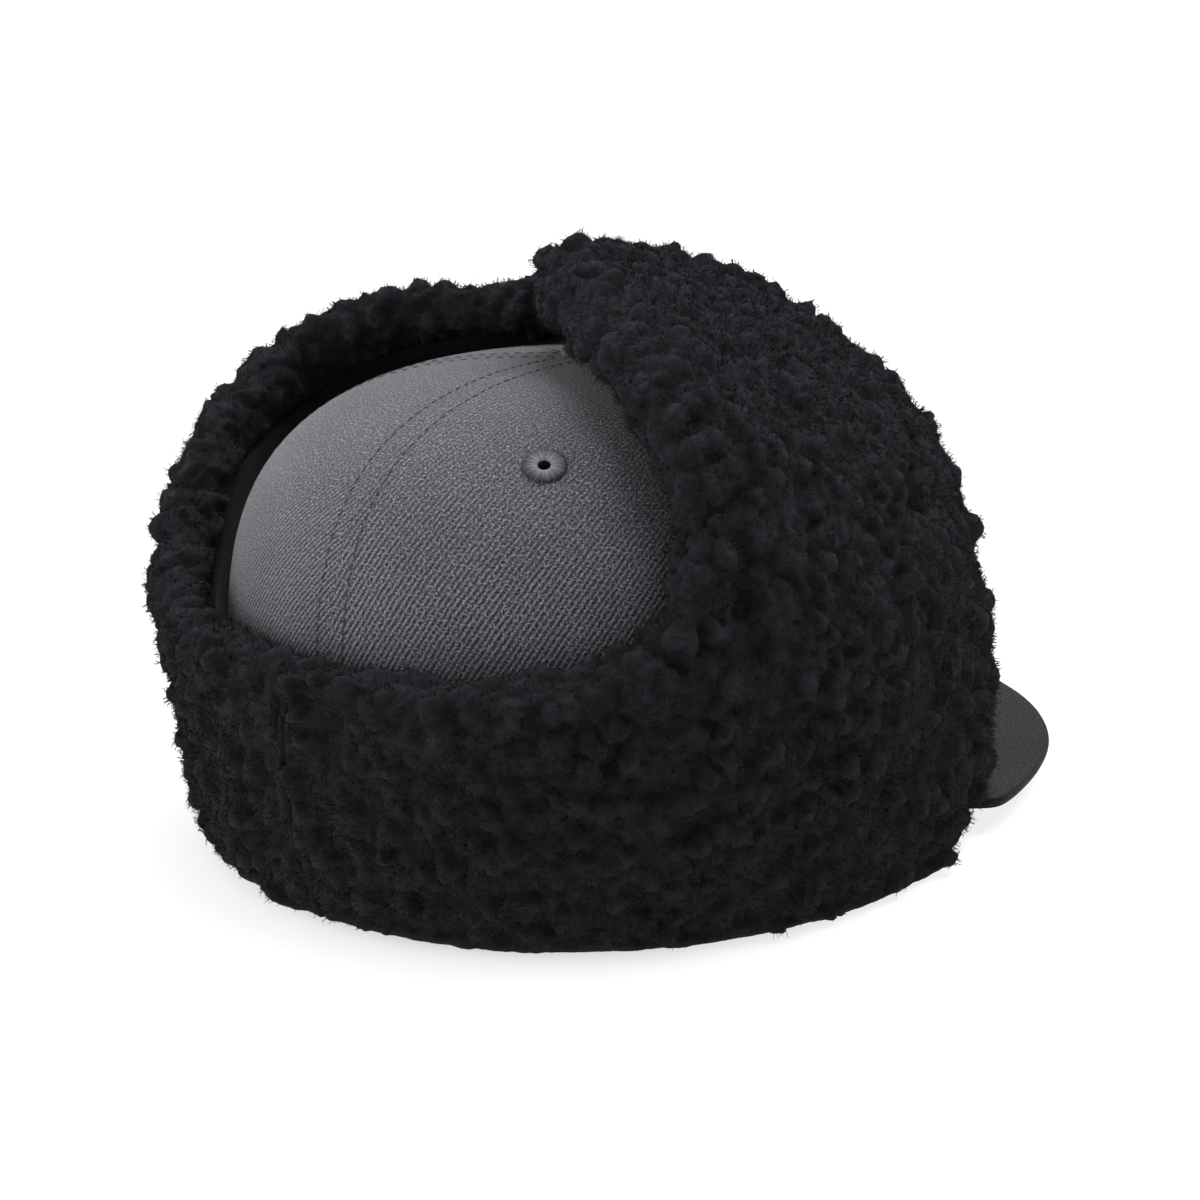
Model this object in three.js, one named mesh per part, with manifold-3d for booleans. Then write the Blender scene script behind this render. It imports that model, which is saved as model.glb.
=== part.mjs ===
// A fitted baseball cap with curly fleece ear flaps that are folded up round the crown and meet on top.
// Millimetres, +Z up. The peak points to -Y and the wearer's left is +X.
// The origin is on the surface that the cap rests on, in the middle of the crown's rim.
import * as THREE from "three";
import { mergeVertices } from "three/addons/utils/BufferGeometryUtils.js";
import Module from "manifold-3d";

const wasm = await Module();
wasm.setup();

// Six-panel crown: an oval dome with upright sides and a flat top, in wool twill.
const CROWN_HALF_WIDTH = 91;
const CROWN_HALF_LENGTH = 97;
const CROWN_HEIGHT = 124;
const CROWN_SQUARENESS = 3.4;
const CROWN_LEAN = 15;
const CROWN_TOP_UPRIGHT = 9;
const CROWN_RIM = 4;
const CLOTH = 2;
const SEAM_GAP = 0.3;
const PANELS = 6;
const PANEL_NAMES = ["back_right", "side_right", "front_right", "front_left", "side_left", "back_left"];
const PANEL_COLUMNS = 7;
const PANEL_ROWS = 11;
const APEX_RADIUS = 3.5;
const SEAM_DIP = 0.7;
const SEAM_SHARPNESS = 10;

// Button over the point where the six panels meet.
const BUTTON_RADIUS = 7.5;
const BUTTON_HEIGHT = 3.4;
const BUTTON_SIDE = 0.6;
const BUTTON_STEPS = 6;

// Sewn eyelet in the back right panel: its place as a turn from the back and a height.
const EYELET_TURN = 32;
const EYELET_UP = 109.3;
const EYELET_RADIUS = 5.6;
const EYELET_HOLE = 1.7;
const EYELET_CUT = 4.4;
const EYELET_PROUD = 0.9;
const EYELET_BEVEL = 0.5;
const EYELET_THROAT = 1.2;
const ROUND_SIDES = 20;

// Peak: a stiff board wound in cloth, sewn to the front of the rim.
const PEAK_HALF_WIDTH = 106;
const PEAK_START = 36;
const PEAK_REACH = 122;
const PEAK_CORNER = 7;
const PEAK_ROOT_TURN = 60;
const PEAK_UNDERSIDE = 7.4;
const PEAK_THICK = 2.6;
const PEAK_EDGE_ROUND = 1.1;
const PEAK_BLUNTNESS = 0.8;
const PEAK_COLUMNS = 28;
const PEAK_CORNER_COLUMNS = [0.15, 0.5];
const PEAK_ROWS = [0, 0.3, 0.62, 0.88, 0.985, 1];

// Flaps: fleece with a smooth cloth facing on the side that lies against the crown.
const FOOT_HALF_WIDTH = 104;
const FOOT_HALF_LENGTH = 112;
const FOOT_BACK = -6;
const FOOT_ROUND = 6;
const FOOT_OVER_PEAK = 11;
const LIFT_FROM_TURN = 96;
const LIFT_TO_TURN = 105;
const FACING = 2;
const FACING_LIFT = 1;
const LAYER_GAP = 0.3;
const HUG_GAP = 1.1;
const HUG_SHARPNESS = 70;
const LOW_SHOULDER = 30;
const HIGH_SHOULDER = 80;
const BAND_FLARE = 0.3;
const SHOULDER_SQUARENESS = 0.7;
const FLEECE_WRAP = 17;
const FRONT_ROUND = 9;
const FRONT_EDGE = 3;
const FLAP_COLUMNS = 25;
const FLAP_ROWS = 11;
const EDGE_ROWS = 4;
const LUMP_DEPTH = 1.2;
const LUMP_PITCH = 36;
const LINE_POINTS = 40;
const WRAP_STEP = 2.5;
const LOBE_LENGTH = 50;
const FRONT_SPAN = 280;
const FOOT_SHARE = 0.4;

// Each row is a line up the flap from the floor to its free edge. turn is degrees from the back round
// that side. out, back and up place the free edge, measured on the face towards the crown. shoulder is
// the height where the line bends in, pile the fleece's thickness and lobe how much thicker it grows at
// the free edge.
const FLAP_TABLE = {
  right: {
    side: -1,
    rows: [
      { turn: 0, out: 0, back: 105, up: 69, shoulder: 44, pile: 13, lobe: 0 },
      { turn: 20, out: 35, back: 99, up: 69, shoulder: 44, pile: 13, lobe: 0 },
      { turn: 34, out: 55, back: 87, up: 72, shoulder: 48, pile: 14, lobe: 0 },
      { turn: 46, out: 67, back: 73, up: 80, shoulder: 66, pile: 14, lobe: 0 },
      { turn: 55, out: 65, back: 62, up: 99, shoulder: 94, pile: 14, lobe: 0 },
      { turn: 64, out: 50, back: 54, up: 115, shoulder: 113, pile: 14, lobe: 1 },
      { turn: 75, out: 30, back: 42, up: 124, shoulder: 124, pile: 14, lobe: 3 },
      { turn: 88, out: 6, back: 24, up: 129, shoulder: 128, pile: 14, lobe: 6 },
      { turn: 99, out: -13, back: 7, up: 131, shoulder: 130, pile: 14, lobe: 7 },
      { turn: 112, out: -13.5, back: -15, up: 131, shoulder: 130, pile: 14, lobe: 6 },
      { turn: 122, out: -10, back: -34, up: 129, shoulder: 127, pile: 15, lobe: 5 },
    ],
  },
  left: {
    side: 1,
    rows: [
      { turn: 0, out: 0, back: 105, up: 69, shoulder: 44, pile: 13, lobe: 0 },
      { turn: 20, out: 36, back: 100, up: 70, shoulder: 44, pile: 13, lobe: 0 },
      { turn: 34, out: 60, back: 85, up: 74, shoulder: 48, pile: 12, lobe: 0 },
      { turn: 48, out: 79, back: 67, up: 85, shoulder: 56, pile: 11, lobe: 1 },
      { turn: 60, out: 88, back: 50, up: 104, shoulder: 81, pile: 11, lobe: 2 },
      { turn: 72, out: 88, back: 33, up: 115, shoulder: 101, pile: 12, lobe: 2 },
      { turn: 84, out: 79, back: 15, up: 121, shoulder: 114, pile: 12, lobe: 1 },
      { turn: 95, out: 61, back: 2, up: 125, shoulder: 121, pile: 11, lobe: 1 },
      { turn: 105, out: 36, back: -6, up: 126, shoulder: 124, pile: 11, lobe: 1 },
      { turn: 114, out: 18, back: -18, up: 125, shoulder: 124, pile: 12, lobe: 1 },
      { turn: 122, out: 16.5, back: -36, up: 123, shoulder: 122, pile: 13, lobe: 1 },
    ],
  },
};

// Cloth colours are those of the photo.
const twill = { color: 0x5a5a60, roughness: 0.95, metalness: 0 };
const threadGrey = { color: 0x4a4a50, roughness: 0.85, metalness: 0 };
const peakCloth = { color: 0x3c3c3a, roughness: 0.9, metalness: 0 };
const fleece = { color: 0x1e1e22, roughness: 1, metalness: 0 };
const facingCloth = { color: 0x25252a, roughness: 0.95, metalness: 0 };

const cap = new THREE.Group();

// Adds one named piece with its own material.
function addPiece(name, geometry, look) {
  const mesh = new THREE.Mesh(geometry, new THREE.MeshStandardMaterial(look));
  mesh.name = name;
  cap.add(mesh);
  return mesh;
}

// Closed solid between two grids of points that share their rows and columns.
// Where the two grids meet in a point, the triangles of no area are left out.
function solidBetween(outer, inner) {
  const rows = outer.length;
  const columns = outer[0].length;
  const position = [];
  const triangle = (a, b, c) => {
    if (a.distanceTo(b) < 1e-4 || b.distanceTo(c) < 1e-4 || c.distanceTo(a) < 1e-4) return;
    position.push(a.x, a.y, a.z, b.x, b.y, b.z, c.x, c.y, c.z);
  };
  const quad = (a, b, c, d) => {
    triangle(a, b, c);
    triangle(a, c, d);
  };
  for (let i = 0; i < rows - 1; i++) {
    for (let j = 0; j < columns - 1; j++) {
      quad(outer[i][j], outer[i][j + 1], outer[i + 1][j + 1], outer[i + 1][j]);
      quad(inner[i][j], inner[i + 1][j], inner[i + 1][j + 1], inner[i][j + 1]);
    }
  }
  for (let i = 0; i < rows - 1; i++) {
    quad(outer[i][0], outer[i + 1][0], inner[i + 1][0], inner[i][0]);
    const j = columns - 1;
    quad(outer[i][j], inner[i][j], inner[i + 1][j], outer[i + 1][j]);
  }
  for (let j = 0; j < columns - 1; j++) {
    quad(outer[0][j], inner[0][j], inner[0][j + 1], outer[0][j + 1]);
    const i = rows - 1;
    quad(outer[i][j], outer[i][j + 1], inner[i][j + 1], inner[i][j]);
  }
  const geometry = new THREE.BufferGeometry();
  geometry.setAttribute("position", new THREE.Float32BufferAttribute(position, 3));
  return facingOut(geometry);
}

// The same closed geometry with its faces turned outwards.
function facingOut(geometry) {
  const p = geometry.getAttribute("position");
  const a = new THREE.Vector3();
  const b = new THREE.Vector3();
  const c = new THREE.Vector3();
  let volume = 0;
  for (let i = 0; i < p.count; i += 3) {
    a.fromBufferAttribute(p, i);
    b.fromBufferAttribute(p, i + 1);
    c.fromBufferAttribute(p, i + 2);
    volume += a.dot(b.cross(c));
  }
  if (volume < 0) {
    for (let i = 0; i < p.count; i += 3) {
      b.fromBufferAttribute(p, i + 1);
      c.fromBufferAttribute(p, i + 2);
      p.setXYZ(i + 1, c.x, c.y, c.z);
      p.setXYZ(i + 2, b.x, b.y, b.z);
    }
  }
  geometry.computeVertexNormals();
  return geometry;
}

// Middle of the crown's oval at a height, as a share of the full height: the crown leans back
// from its rim, and its top comes forward again over the middle of the rim.
function crownMiddle(share) {
  return CROWN_LEAN * (share - share ** CROWN_TOP_UPRIGHT);
}

// Point of the crown's outer face, or of a face that lies `inset` inside it.
// turn is degrees from the back by the wearer's right, and rise runs from 0 at the floor to 1 on top.
function crownPoint(turn, rise, inset = 0) {
  const angle = THREE.MathUtils.degToRad(turn);
  const climb = (rise * Math.PI) / 2;
  const power = 2 / CROWN_SQUARENESS;
  const spread = Math.cos(climb) ** power;
  const share = Math.sin(climb) ** power;
  const across = Math.sin(angle) / (CROWN_HALF_WIDTH - inset);
  const along = Math.cos(angle) / (CROWN_HALF_LENGTH - inset);
  const reach = spread / Math.hypot(across, along);
  return new THREE.Vector3(
    -reach * Math.sin(angle),
    reach * Math.cos(angle) + crownMiddle(share),
    (CROWN_HEIGHT - inset) * share,
  );
}

// Rise at which the crown's outer face has a height.
function riseAt(height) {
  return Math.asin((height / CROWN_HEIGHT) ** (CROWN_SQUARENESS / 2)) / (Math.PI / 2);
}

// Moves a point of a flap outwards where it would come closer to the crown than the gap.
// At the rim, where the flap is sewn on, it stays where it is.
function hugCrown(point) {
  const share = THREE.MathUtils.clamp(point.z / CROWN_HEIGHT, 0, 1);
  const back = point.y - crownMiddle(share);
  const level = Math.hypot(
    point.x / (CROWN_HALF_WIDTH + HUG_GAP),
    back / (CROWN_HALF_LENGTH + HUG_GAP),
  );
  const height = Math.max(point.z, 0) / (CROWN_HEIGHT + HUG_GAP);
  const depth = (level ** CROWN_SQUARENESS + height ** CROWN_SQUARENESS) ** (1 / CROWN_SQUARENESS);
  const clear = (1 + depth ** -HUG_SHARPNESS) ** (1 / HUG_SHARPNESS);
  const push = 1 + (clear - 1) * THREE.MathUtils.smoothstep(point.z, CROWN_RIM / 2, 2 * CROWN_RIM);
  return new THREE.Vector3(point.x * push, crownMiddle(share) + back * push, point.z * push);
}

function makeCrown() {
  const evenness = CROWN_SQUARENESS / 2;
  const toEven = (rise) => rise ** (1 / evenness) / (rise ** (1 / evenness) + (1 - rise) ** (1 / evenness));
  const first = toEven(riseAt(CROWN_RIM));
  const topSpread = (APEX_RADIUS / CROWN_HALF_WIDTH) ** evenness;
  const last = toEven(Math.acos(topSpread) / (Math.PI / 2));
  for (let panel = 0; panel < PANELS; panel++) {
    const grids = [[], []];
    for (let i = 0; i <= PANEL_ROWS; i++) {
      // The rows lie about evenly up the dome, from the rim to the small hole under the button.
      const even = first + ((last - first) * i) / PANEL_ROWS;
      const rise = even ** evenness / (even ** evenness + (1 - even) ** evenness);
      const rows = [[], []];
      const width = crownPoint(90, rise).x;
      const gapTurn = THREE.MathUtils.radToDeg(SEAM_GAP / 2 / Math.max(Math.abs(width), 1));
      for (let j = 0; j <= PANEL_COLUMNS; j++) {
        const across = j / PANEL_COLUMNS;
        const from = (panel * 360) / PANELS + gapTurn;
        const turn = from + across * (360 / PANELS - 2 * gapTurn);
        // The cloth dips into each seam, where its edges turn in.
        const dip = SEAM_DIP * Math.abs(2 * across - 1) ** SEAM_SHARPNESS;
        rows[0].push(crownPoint(turn, rise, dip));
        rows[1].push(crownPoint(turn, rise, CLOTH + dip));
      }
      grids[0].push(rows[0]);
      grids[1].push(rows[1]);
    }
    const name = "crown_panel_" + PANEL_NAMES[panel];
    const cloth = solidBetween(grids[0], grids[1]);
    addPiece(name, name.endsWith("back_right") ? cutEyeletHole(cloth) : cloth, twill);
  }
}

// A geometry with shared vertices as a manifold-3d solid, and back.
function toManifold(geometry) {
  const bare = new THREE.BufferGeometry();
  bare.setAttribute("position", geometry.getAttribute("position"));
  if (geometry.index) bare.setIndex(geometry.index);
  const merged = mergeVertices(bare, 1e-4);
  return new wasm.Manifold(
    new wasm.Mesh({
      numProp: 3,
      vertProperties: new Float32Array(merged.getAttribute("position").array),
      triVerts: new Uint32Array(merged.index.array),
    }),
  );
}

function fromManifold(solid) {
  const mesh = solid.getMesh();
  const geometry = new THREE.BufferGeometry();
  geometry.setAttribute("position", new THREE.Float32BufferAttribute(mesh.vertProperties, 3));
  geometry.setIndex(new THREE.BufferAttribute(mesh.triVerts, 1));
  const loose = geometry.toNonIndexed();
  loose.computeVertexNormals();
  return loose;
}

// Place and outward direction of the eyelet on the crown.
function eyeletSeat() {
  const rise = riseAt(EYELET_UP);
  const middle = crownPoint(EYELET_TURN, rise);
  const aside = crownPoint(EYELET_TURN + 1, rise).sub(middle);
  const above = crownPoint(EYELET_TURN, rise + 0.01).sub(middle);
  const out = above.cross(aside).normalize();
  if (out.z < 0) out.negate();
  const turned = new THREE.Quaternion().setFromUnitVectors(new THREE.Vector3(0, 1, 0), out);
  return { middle, turned };
}

// A turned profile moved onto the crown at the eyelet.
function atEyelet(profile, sides) {
  const { middle, turned } = eyeletSeat();
  const points = profile.map(([radius, up]) => new THREE.Vector2(radius, up));
  const ring = new THREE.LatheGeometry(points, sides);
  return ring.applyQuaternion(turned).translate(middle.x, middle.y, middle.z);
}

function cutEyeletHole(cloth) {
  const deep = 2 * CLOTH;
  const drill = atEyelet([[0, -deep], [EYELET_CUT, -deep], [EYELET_CUT, deep], [0, deep]], ROUND_SIDES);
  return fromManifold(toManifold(cloth).subtract(toManifold(drill)));
}

// The eyelet is a ring of thread that fills the cut hole and lies over its rim.
function makeEyelet() {
  const neck = EYELET_CUT - LAYER_GAP;
  const over = 1.5 * LAYER_GAP;
  const ring = atEyelet(
    [
      [EYELET_HOLE, -CLOTH],
      [neck, -CLOTH],
      [neck, over],
      [EYELET_RADIUS, over],
      [EYELET_RADIUS - EYELET_BEVEL, EYELET_PROUD],
      [EYELET_HOLE + EYELET_THROAT, EYELET_PROUD],
      [EYELET_HOLE, over],
      [EYELET_HOLE, -CLOTH],
    ],
    ROUND_SIDES,
  );
  addPiece("eyelet_back_right", ring, threadGrey);
}

// The button is a low cloth-covered dome with a short upright side.
function makeButton() {
  const seat = crownPoint(0, 1);
  const shoulder = LAYER_GAP + BUTTON_SIDE;
  const points = [new THREE.Vector2(0, LAYER_GAP), new THREE.Vector2(BUTTON_RADIUS, LAYER_GAP)];
  for (let i = 0; i < BUTTON_STEPS; i++) {
    const swing = (i / BUTTON_STEPS) * (Math.PI / 2);
    const up = shoulder + (BUTTON_HEIGHT - shoulder) * Math.sin(swing);
    points.push(new THREE.Vector2(BUTTON_RADIUS * Math.cos(swing), up));
  }
  points.push(new THREE.Vector2(0, BUTTON_HEIGHT));
  const dome = new THREE.LatheGeometry(points, ROUND_SIDES).rotateX(Math.PI / 2);
  addPiece("top_button", dome.translate(seat.x, seat.y, seat.z), twill);
}

// The peak's rows run from the crown's rim out to its free edge, which is rounded over.
// Its two rear corners are rounded in towards the crown.
function makePeak() {
  const places = [];
  for (let j = 0; j <= PEAK_COLUMNS; j++) places.push(j / PEAK_COLUMNS);
  const near = PEAK_CORNER_COLUMNS.map((place) => place / PEAK_COLUMNS);
  places.splice(1, 0, ...near);
  places.splice(-1, 0, ...near.map((place) => 1 - place).reverse());
  const grids = [[], []];
  for (const share of PEAK_ROWS) {
    const lines = [[], []];
    for (const across of places) {
      const turn = 180 - PEAK_ROOT_TURN + 2 * PEAK_ROOT_TURN * across;
      const swing = Math.PI * across;
      const forward = PEAK_REACH * Math.sin(swing) ** PEAK_BLUNTNESS;
      const fromCorner = Math.max(1 - forward / PEAK_CORNER, 0);
      const corner = PEAK_CORNER * (1 - Math.sqrt(1 - fromCorner ** 2));
      const side = -Math.sign(Math.cos(swing));
      const tip = new THREE.Vector3(
        -PEAK_HALF_WIDTH * Math.cos(swing) - side * corner,
        -PEAK_START - forward,
        0,
      );
      const root = crownPoint(turn, riseAt(PEAK_UNDERSIDE + PEAK_THICK / 2), -LAYER_GAP);
      const place = root.clone().setZ(0).lerp(tip, share);
      const round = share === 1 ? PEAK_EDGE_ROUND : 0;
      lines[0].push(place.clone().setZ(PEAK_UNDERSIDE + PEAK_THICK - round));
      lines[1].push(place.clone().setZ(PEAK_UNDERSIDE + round));
    }
    grids[0].push(lines[0]);
    grids[1].push(lines[1]);
  }
  addPiece("peak", solidBetween(grids[0], grids[1]), peakCloth);
}

// Values of one column of a flap's table on a smooth line through its rows.
function flapRow(rows, along) {
  const place = along * (rows.length - 1);
  const k = Math.min(Math.floor(place), rows.length - 2);
  const t = place - k;
  const result = {};
  for (const key of Object.keys(rows[0])) {
    const p1 = rows[k][key];
    const p2 = rows[k + 1][key];
    const p0 = k > 0 ? rows[k - 1][key] : 2 * p1 - p2;
    const p3 = k + 2 < rows.length ? rows[k + 2][key] : 2 * p2 - p1;
    const bend = 2 * p0 - 5 * p1 + 4 * p2 - p3;
    const twist = 3 * (p1 - p2) + p3 - p0;
    result[key] = p1 + 0.5 * t * (p2 - p0 + t * (bend + t * twist));
  }
  return result;
}

// Line up a flap's face towards the crown, from the foot to the free edge: an arc that starts upright
// and bends in at the shoulder. `along` runs from the back seam to the front edge.
function faceLine(flap, along) {
  const row = flapRow(flap.rows, along);
  // Towards the front the foot rises off the floor, to pass over the peak.
  row.foot = FOOT_OVER_PEAK * THREE.MathUtils.smoothstep(row.turn, LIFT_FROM_TURN, LIFT_TO_TURN);
  const foot = crownPoint(row.turn, riseAt(CROWN_RIM), -LAYER_GAP);
  const base = new THREE.Vector3(flap.side * Math.abs(foot.x), foot.y, row.foot);
  const edge = new THREE.Vector3(flap.side * row.out, row.back, row.up);
  const tall = THREE.MathUtils.smoothstep(row.shoulder, LOW_SHOULDER, HIGH_SHOULDER);
  const corner = base.clone().lerp(edge, BAND_FLARE * (1 - tall)).setZ(row.shoulder);
  const power = 2 / (2 + SHOULDER_SQUARENESS * tall);
  const toBase = base.clone().sub(corner);
  const toEdge = edge.clone().sub(corner);
  const points = [];
  for (let i = 0; i <= LINE_POINTS; i++) {
    const climb = ((1 - Math.cos((Math.PI * i) / LINE_POINTS)) / 2) * (Math.PI / 2);
    const point = corner.clone();
    point.addScaledVector(toBase, 1 - Math.sin(climb) ** power);
    point.addScaledVector(toEdge, 1 - Math.cos(climb) ** power);
    points.push(hugCrown(point));
  }
  return { row, curve: new THREE.CatmullRomCurve3(points) };
}

// Low, broad swellings of the pile.
function lumpRelief(point) {
  const k = (2 * Math.PI) / LUMP_PITCH;
  const first = Math.sin(k * (point.x + 0.6 * point.y)) * Math.sin(k * (point.z + 0.4 * point.x));
  const second = Math.sin(k * (0.9 * point.y - 0.5 * point.z + 3)) * Math.cos(k * 0.8 * (point.x - point.z));
  return (LUMP_DEPTH * (first + second)) / 2;
}

// Thickness of the pile at the foot, from the face out to the oval that the cap stands on.
function pileAtFoot(row, face) {
  const angle = THREE.MathUtils.degToRad(row.turn);
  const across = Math.sin(angle) / FOOT_HALF_WIDTH;
  const reach = 1 / Math.hypot(across, Math.cos(angle) / FOOT_HALF_LENGTH);
  const back = reach * Math.cos(angle) + FOOT_BACK;
  const room = Math.hypot(reach * Math.sin(angle) - Math.abs(face.x), back - face.y);
  return Math.max(room - FACING - LAYER_GAP, FOOT_ROUND + 1);
}

// How far the rows of a column stand above the foot: close in the rounded foot and free edge.
function rowStations(length, edgePile) {
  const round = edgePile / 2;
  const stations = [0, 0.15 * FOOT_ROUND, 0.5 * FOOT_ROUND, FOOT_ROUND];
  const wrapEnd = length - FLEECE_WRAP;
  for (let i = 1; i <= FLAP_ROWS; i++) {
    stations.push(FOOT_ROUND + ((wrapEnd - FOOT_ROUND) * i) / FLAP_ROWS);
  }
  const facingRows = stations.length;
  stations.push(wrapEnd + 2 * LAYER_GAP, wrapEnd + WRAP_STEP);
  for (let i = 0; i <= EDGE_ROWS; i++) {
    const swing = (i / EDGE_ROWS) * (Math.PI / 2);
    stations.push(length - round + round * Math.sin(swing));
  }
  return { stations, facingRows, round };
}

// One flap: its fleece, and the smooth facing that the fleece wraps over at the free edge.
function makeFlap(name, flap) {
  const places = [];
  for (let j = 0; j <= FLAP_COLUMNS; j++) places.push(j / FLAP_COLUMNS);
  places.splice(-1, 0, 1 - 0.5 / FLAP_COLUMNS, 1 - 0.15 / FLAP_COLUMNS);
  const lines = places.map((along) => faceLine(flap, along));
  const fleeceGrids = [[], []];
  const facingGrids = [[], []];
  lines.forEach(({ row, curve }, j) => {
    const before = lines[Math.max(j - 1, 0)].curve;
    const after = lines[Math.min(j + 1, lines.length - 1)].curve;
    const length = curve.getLength();
    const footPile = pileAtFoot(row, curve.getPointAt(0));
    const { stations, facingRows, round } = rowStations(length, row.pile + row.lobe);
    const fromFront = (1 - places[j]) * FRONT_SPAN;
    const front = Math.sqrt(1 - Math.max(1 - fromFront / FRONT_ROUND, 0) ** 2);
    const fleeceLines = [[], []];
    const facingLines = [[], []];
    stations.forEach((station, i) => {
      const share = Math.min(station / length, 1);
      const face = curve.getPointAt(share);
      const around = after.getPointAt(share).sub(before.getPointAt(share));
      const normal = around.cross(curve.getTangentAt(share)).multiplyScalar(-flap.side).normalize();
      const grown = THREE.MathUtils.smoothstep(share, 0, FOOT_SHARE);
      const swell = row.lobe * THREE.MathUtils.smoothstep(station, length - LOBE_LENGTH, length - round);
      let pile = THREE.MathUtils.lerp(footPile, row.pile, grown) + swell;
      const fromFoot = Math.max(1 - station / FOOT_ROUND, 0);
      pile -= FOOT_ROUND * (1 - Math.sqrt(1 - fromFoot ** 2));
      pile = Math.max(pile * front, FRONT_EDGE);
      const low = i > facingRows ? 0 : FACING + LAYER_GAP;
      const high = FACING + LAYER_GAP + pile;
      const fromEdge = THREE.MathUtils.clamp((station - length + round) / round, 0, 1);
      const half = ((high - low) / 2) * Math.sqrt(1 - fromEdge ** 2);
      const outer = face.clone().addScaledVector(normal, (low + high) / 2 + half);
      const inner = face.clone().addScaledVector(normal, (low + high) / 2 - half);
      if (fromFoot === 0 && fromEdge < 0.9 && front > 0.9) outer.addScaledVector(normal, lumpRelief(outer));
      for (const point of [outer, inner]) point.z = i === 0 ? row.foot : Math.max(point.z, row.foot);
      fleeceLines[0].push(outer);
      fleeceLines[1].push(inner);
      if (i < facingRows) {
        const lift = i === 0 ? FACING_LIFT : 0;
        const back = face.clone().addScaledVector(normal, FACING);
        facingLines[0].push(back.setZ(Math.max(back.z, row.foot + lift)));
        facingLines[1].push(face.clone().setZ(Math.max(face.z, row.foot + lift)));
      }
    });
    fleeceGrids.forEach((grid, side) => grid.push(fleeceLines[side]));
    facingGrids.forEach((grid, side) => grid.push(facingLines[side]));
  });
  // The two flaps are sewn together at the middle of the back.
  for (const grid of [...fleeceGrids, ...facingGrids]) {
    for (const point of grid[0]) point.x = (flap.side * SEAM_GAP) / 2;
  }
  addPiece("flap_fleece_" + name, solidBetween(fleeceGrids[0], fleeceGrids[1]), fleece);
  addPiece("flap_facing_" + name, solidBetween(facingGrids[0], facingGrids[1]), facingCloth);
}

makeCrown();
makeEyelet();
makeButton();
makePeak();
for (const [name, flap] of Object.entries(FLAP_TABLE)) makeFlap(name, flap);

export default cap;
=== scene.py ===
# A fitted baseball cap: twill crown, flat peak, and curly fleece ear flaps folded up round the crown.
# Metres, +Z up. The peak points to -Y and the wearer's left is +X; the cap rests on z = 0.
import math
import bmesh
import bpy
import numpy as np
from mathutils import Matrix, Vector, noise
from mathutils.bvhtree import BVHTree


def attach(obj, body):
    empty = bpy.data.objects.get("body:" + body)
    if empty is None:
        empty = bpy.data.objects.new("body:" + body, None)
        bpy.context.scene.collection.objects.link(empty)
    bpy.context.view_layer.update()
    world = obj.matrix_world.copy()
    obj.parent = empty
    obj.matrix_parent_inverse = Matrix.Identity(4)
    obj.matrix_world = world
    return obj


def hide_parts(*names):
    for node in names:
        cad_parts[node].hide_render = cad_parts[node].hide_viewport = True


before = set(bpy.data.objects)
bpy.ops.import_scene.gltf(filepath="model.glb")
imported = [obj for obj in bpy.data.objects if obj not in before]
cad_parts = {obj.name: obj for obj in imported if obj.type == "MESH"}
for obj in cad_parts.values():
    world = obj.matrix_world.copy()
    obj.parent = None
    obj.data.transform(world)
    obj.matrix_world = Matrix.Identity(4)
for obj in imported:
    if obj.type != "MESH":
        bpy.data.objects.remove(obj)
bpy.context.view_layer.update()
MM = 0.001


# Crown panels: six wedges of grey wool twill, sewn edge to edge into a dome with upright sides.
# The weave's wales run up each panel at a steep slant, and light fibres give it a heathered look.
CROWN_HALF_WIDTH = 91 * MM
CROWN_HALF_LENGTH = 97 * MM
CROWN_HEIGHT = 124 * MM
CROWN_SQUARENESS = 3.4
CROWN_LEAN = 15 * MM
CROWN_TOP_UPRIGHT = 9
HALF_PANEL = math.radians(30)
WALE_PITCH = 1.26 * MM
WALE_SLANT = math.radians(57)
FLOAT_LENGTH = 0.6 * MM
YARN_WANDER = 0.9 * MM
YARN_WANDER_FINENESS = 0.12 / MM
FIBRE_FINENESS = 2.1 / MM
NAP_FINENESS = 1.6 / MM
PATCH_FINENESS = 0.045 / MM
WORN_FROM = 74 * MM
WORN_TO = 116 * MM
WALES_LEFT_ON_TOP = 0.35
WEAVE_DEPTH = 0.3 * MM
SEAM_DENT = 0.06 * MM
SEAM_DENT_WIDTH = 0.9 * MM
ROW_OFFSET = 4 * MM
SHARP_FOLD = 0.9
WELD_DISTANCE = 0.002 * MM


def crown_middle(share):
    """How far back the middle of the crown's oval lies at a share of its height."""
    return CROWN_LEAN * (share - share**CROWN_TOP_UPRIGHT)


def crown_point(turn, climb):
    """Point on the crown.

    turn is in radians from the back by the wearer's right, and climb goes from 0 at the rim to 1 on top.
    """
    power = 2 / CROWN_SQUARENESS
    spread = math.cos(climb * math.pi / 2) ** power
    share = math.sin(climb * math.pi / 2) ** power
    reach = 1 / math.hypot(math.sin(turn) / CROWN_HALF_WIDTH, math.cos(turn) / CROWN_HALF_LENGTH)
    return Vector((
        -reach * spread * math.sin(turn),
        reach * spread * math.cos(turn) + crown_middle(share),
        CROWN_HEIGHT * share,
    ))


def crown_normal(turn, climb):
    """Outward direction of the crown's face at a point."""
    step = 0.001
    around = crown_point(turn + step, climb) - crown_point(turn - step, climb)
    upward = crown_point(turn, climb + step) - crown_point(turn, climb - step)
    return upward.cross(around).normalized() * -1


def ramp_up(value, start, length):
    """0 where a value is below its start, 1 where it is past its length, and the share in between."""
    return min(max((value - start) / length, 0), 1)


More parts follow.
